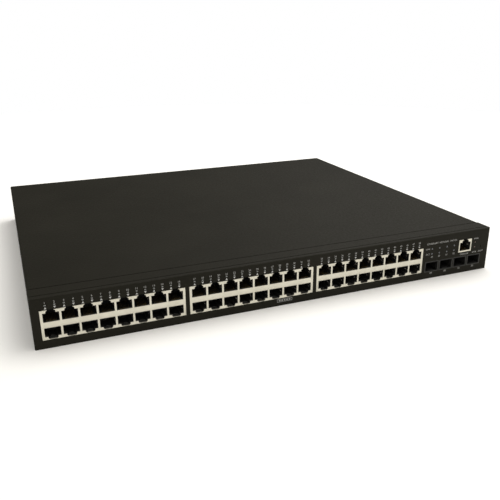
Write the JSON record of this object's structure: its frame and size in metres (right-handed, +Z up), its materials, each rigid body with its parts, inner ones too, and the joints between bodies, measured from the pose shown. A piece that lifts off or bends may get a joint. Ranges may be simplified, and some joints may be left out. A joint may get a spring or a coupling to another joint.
{
  "type": "rackmount network switch",
  "caption": "Flat black rackmount network switch: rows of shielded copper sockets along the front, pluggable cages, console socket, status lights, rear fans and mains inlet.",
  "frame": {"origin": "centre of the whole object's footprint, at the underside", "axes": "+X to the right and -Y out of the front, for a person facing the sockets; +Z up"},
  "size_m": [0.44, 0.3708, 0.0436],
  "materials": {
    "black_paint": "fine textured powder coat",
    "black_screw": "blackened steel",
    "zinc_steel": "zinc plate",
    "lamp_white": "small lamp",
    "contact_gold": "gold plate",
    "board_green": "solder mask",
    "black_plastic": "moulded",
    "clear_plastic": "frosted clear plastic",
    "chip_black": "moulded package",
    "heatsink_metal": "anodised",
    "psu_board_brown": "bare laminate",
    "insulator_film": "thin film",
    "ferrite": "sintered",
    "winding_tape": "taped",
    "capacitor_sleeve": "shrunk sleeve",
    "lead_red": "insulated wire",
    "plug_white": "moulded",
    "pin_metal": "nickel plate",
    "winding_copper": "enamelled wire",
    "shield_metal": "nickel plate"
  },
  "bodies": {
    "chassis": {"ac_inlet": "black_plastic", "base_tray": "black_paint", "board_chips": "chip_black", "board_pillars": "zinc_steel", "board_screws": "zinc_steel", "capacitors": "capacitor_sleeve", "console_board": "board_green", "console_contacts": "contact_gold", "console_housing": "black_plastic", "console_shield": "shield_metal", "cover_screws": "black_screw", "ear_nuts": "zinc_steel", "fan_frame_1": "black_plastic", "fan_frame_2": "black_plastic", "fan_stators": "winding_copper", "front_panel": "black_paint", "ground_screw": "zinc_steel", "inlet_pins": "pin_metal", "lead_plugs": "plug_white", "led_holders": "black_plastic", "led_lenses": "clear_plastic", "line_choke": "ferrite", "magnetics": "chip_black", "main_board": "board_green", "pluggable_cage_1": "shield_metal", "pluggable_cage_2": "shield_metal", "pluggable_cage_3": "shield_metal", "pluggable_cage_4": "shield_metal", "pluggable_connectors": "black_plastic", "port_contacts_1": "contact_gold", "port_contacts_2": "contact_gold", "port_contacts_3": "contact_gold", "port_heatsinks": "heatsink_metal", "port_housing_1": "black_plastic", "port_housing_2": "black_plastic", "port_housing_3": "black_plastic", "port_leds": "lamp_white", "port_light_pipe_1": "clear_plastic", "port_light_pipe_2": "clear_plastic", "port_light_pipe_3": "clear_plastic", "port_shield_1": "shield_metal", "port_shield_2": "shield_metal", "port_shield_3": "shield_metal", "power_coils": "chip_black", "power_leads": "lead_red", "psu_board": "psu_board_brown", "psu_heatsinks": "heatsink_metal", "psu_insulator": "insulator_film", "rear_panel": "black_paint", "rear_screws": "zinc_steel", "reset_switch": "black_plastic", "standoffs": "zinc_steel", "switch_chip": "chip_black", "switch_heatsink": "heatsink_metal", "top_cover": "black_paint", "transformer_core": "ferrite", "transformer_winding": "winding_tape"},
    "fan_rotor_1": {"fan_rotor_1": "black_plastic"},
    "fan_rotor_2": {"fan_rotor_2": "black_plastic"},
    "reset_button": {"reset_button": "black_plastic"}
  },
  "joints": [
    {"name": "fan_spin_1", "type": "hinge", "parent": "chassis", "child": "fan_rotor_1", "pos_m": [-0.16, 0.17075, 0.0218], "axis": [0, 1, 0], "continuous": true},
    {"name": "fan_spin_2", "type": "hinge", "parent": "chassis", "child": "fan_rotor_2", "pos_m": [-0.104, 0.17075, 0.0218], "axis": [0, 1, 0], "continuous": true},
    {"name": "reset_press", "type": "slide", "parent": "chassis", "child": "reset_button", "axis": [0, 1, 0], "range_m": [0, 0.0004], "stiffness_N_per_m": 3000}
  ]
}
